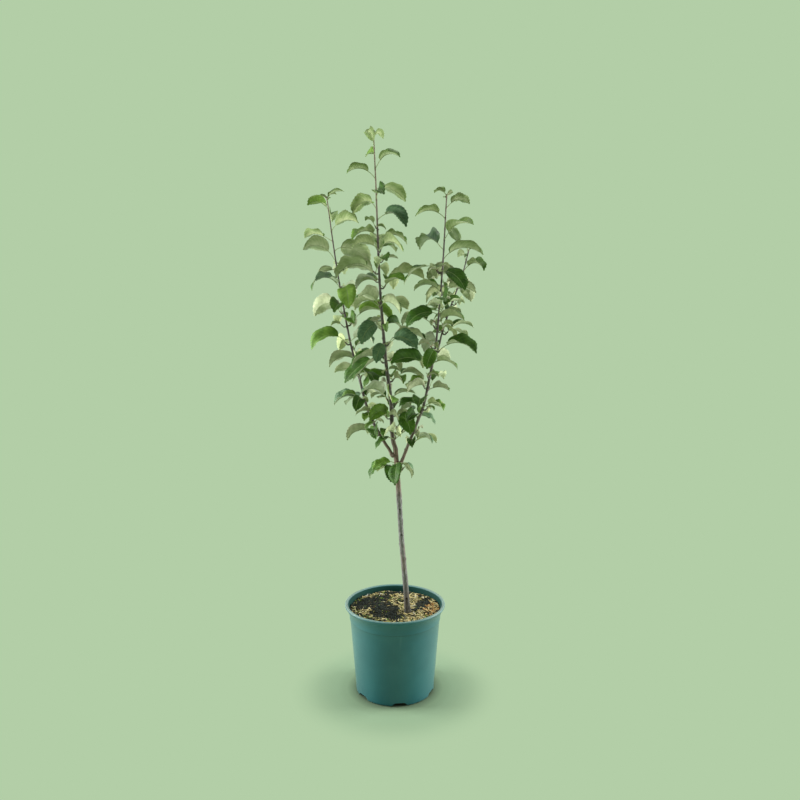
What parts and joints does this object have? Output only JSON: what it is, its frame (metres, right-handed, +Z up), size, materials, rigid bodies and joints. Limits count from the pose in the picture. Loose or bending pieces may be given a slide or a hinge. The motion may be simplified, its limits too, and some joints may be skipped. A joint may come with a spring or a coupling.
{
  "type": "dwarf apple tree in a pot",
  "caption": "Young dwarf apple tree with a slim leaning trunk and upright leafy boughs, rooted in a round, tapered, soil-filled nursery pot with a rolled rim.",
  "frame": {"origin": "centre of the pot's flat underside, on the ground", "axes": "+Z up along the pot's axis; +X to the right and -Y towards the viewer in the front view, with the trunk's foot right of and in front of the pot's axis"},
  "size_m": [0.4633, 0.3549, 1.4137],
  "materials": {
    "pot": "satin moulded teal-green plastic, paler at the rolled rim",
    "soil": "rough loose compost of tan fibres, dark peat and grit",
    "trunk": "matte grey-brown bark with darker bud scars",
    "boughs": "smooth dark grey-brown young bark",
    "leaves": "leaves with a half-gloss green upper side and a pale downy underside"
  },
  "bodies": {
    "root": {"fork_leaves_01": "leaves", "fork_leaves_02": "leaves", "fork_leaves_03": "leaves", "leader": "boughs", "leader_leaves_01": "leaves", "leader_leaves_02": "leaves", "leader_leaves_03": "leaves", "leader_leaves_04": "leaves", "leader_leaves_05": "leaves", "leader_leaves_06": "leaves", "leader_leaves_07": "leaves", "leader_leaves_08": "leaves", "leader_leaves_09": "leaves", "leader_leaves_10": "leaves", "leader_leaves_11": "leaves", "leader_leaves_12": "leaves", "leader_tip_leaves": "leaves", "left_bough": "boughs", "left_bough_leaves_01": "leaves", "left_bough_leaves_02": "leaves", "left_bough_leaves_03": "leaves", "left_bough_leaves_04": "leaves", "left_bough_leaves_05": "leaves", "left_bough_leaves_06": "leaves", "left_bough_leaves_07": "leaves", "left_bough_leaves_08": "leaves", "left_bough_leaves_09": "leaves", "left_bough_leaves_10": "leaves", "left_bough_tip_leaves": "leaves", "pot": "pot", "right_bough": "boughs", "right_bough_leaves_01": "leaves", "right_bough_leaves_02": "leaves", "right_bough_leaves_03": "leaves", "right_bough_leaves_04": "leaves", "right_bough_leaves_05": "leaves", "right_bough_leaves_06": "leaves", "right_bough_leaves_07": "leaves", "right_bough_leaves_08": "leaves", "right_bough_leaves_09": "leaves", "right_bough_leaves_10": "leaves", "right_bough_tip_leaves": "leaves", "right_side_shoot": "boughs", "right_side_shoot_leaves_01": "leaves", "right_side_shoot_leaves_02": "leaves", "right_side_shoot_leaves_03": "leaves", "right_side_shoot_tip_leaves": "leaves", "soil": "soil", "trunk": "trunk"}
  },
  "joints": []
}
